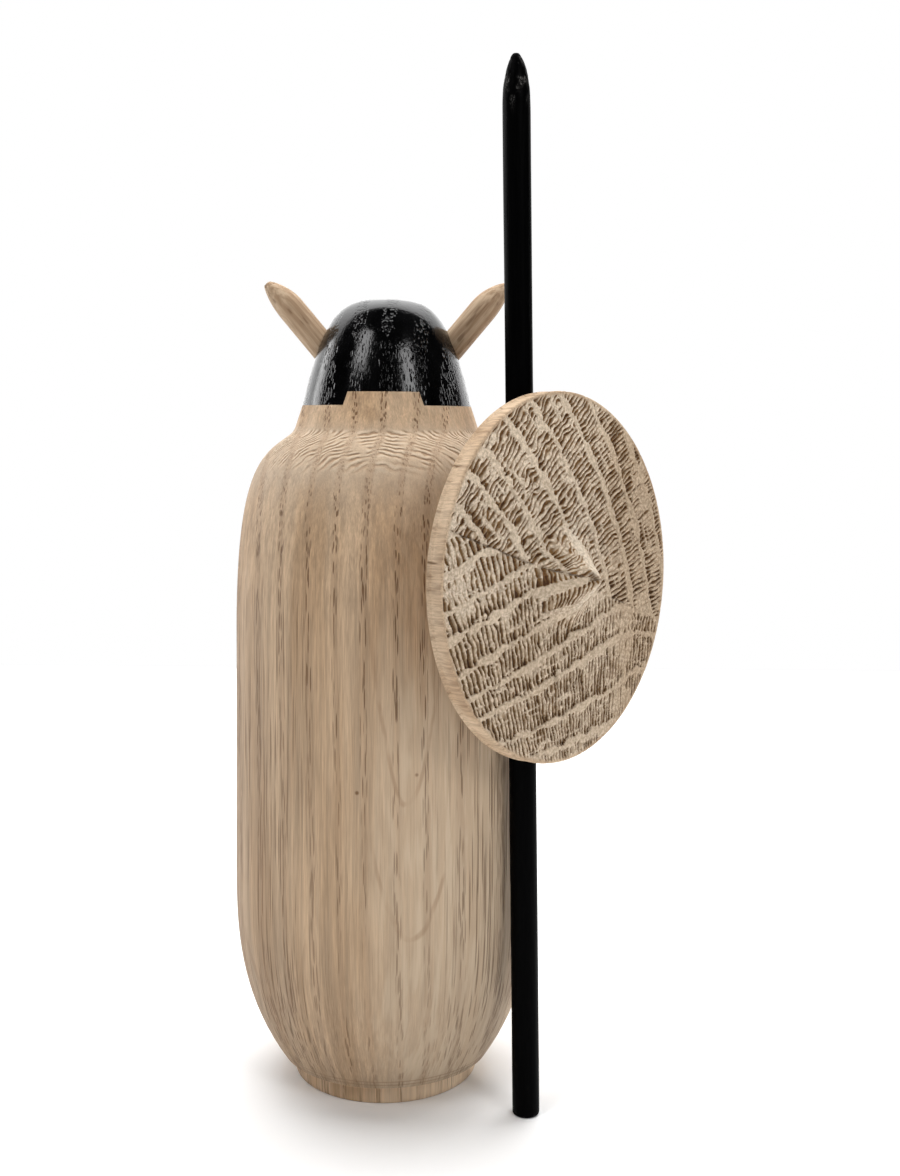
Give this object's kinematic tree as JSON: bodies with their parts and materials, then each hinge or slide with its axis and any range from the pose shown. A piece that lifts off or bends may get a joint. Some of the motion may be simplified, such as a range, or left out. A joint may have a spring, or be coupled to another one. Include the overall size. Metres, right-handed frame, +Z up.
{
  "type": "turned wooden warrior figurine",
  "caption": "Abstract turned oak warrior figurine with a black painted helmet, peg horns, a leaning black spear and a round wooden shield.",
  "frame": {"origin": "centre of the flat underside of the foot, on the body's turning axis", "axes": "+Z up along the body's axis, -Y the way the figure looks, +X towards the side of the spear and shield"},
  "size_m": [0.0789, 0.0696, 0.1805],
  "materials": {
    "oak": "bare matt oak, open grain; black satin paint on the helmet",
    "horn_oak": "bare matt oak",
    "black_stick": "satin black paint on wood",
    "shield_oak": "bare matt brushed oak with raised growth rings"
  },
  "bodies": {
    "root": {"body": "oak", "horn_left": "horn_oak", "horn_right": "horn_oak", "spear": "black_stick", "shield": "shield_oak"}
  },
  "joints": []
}
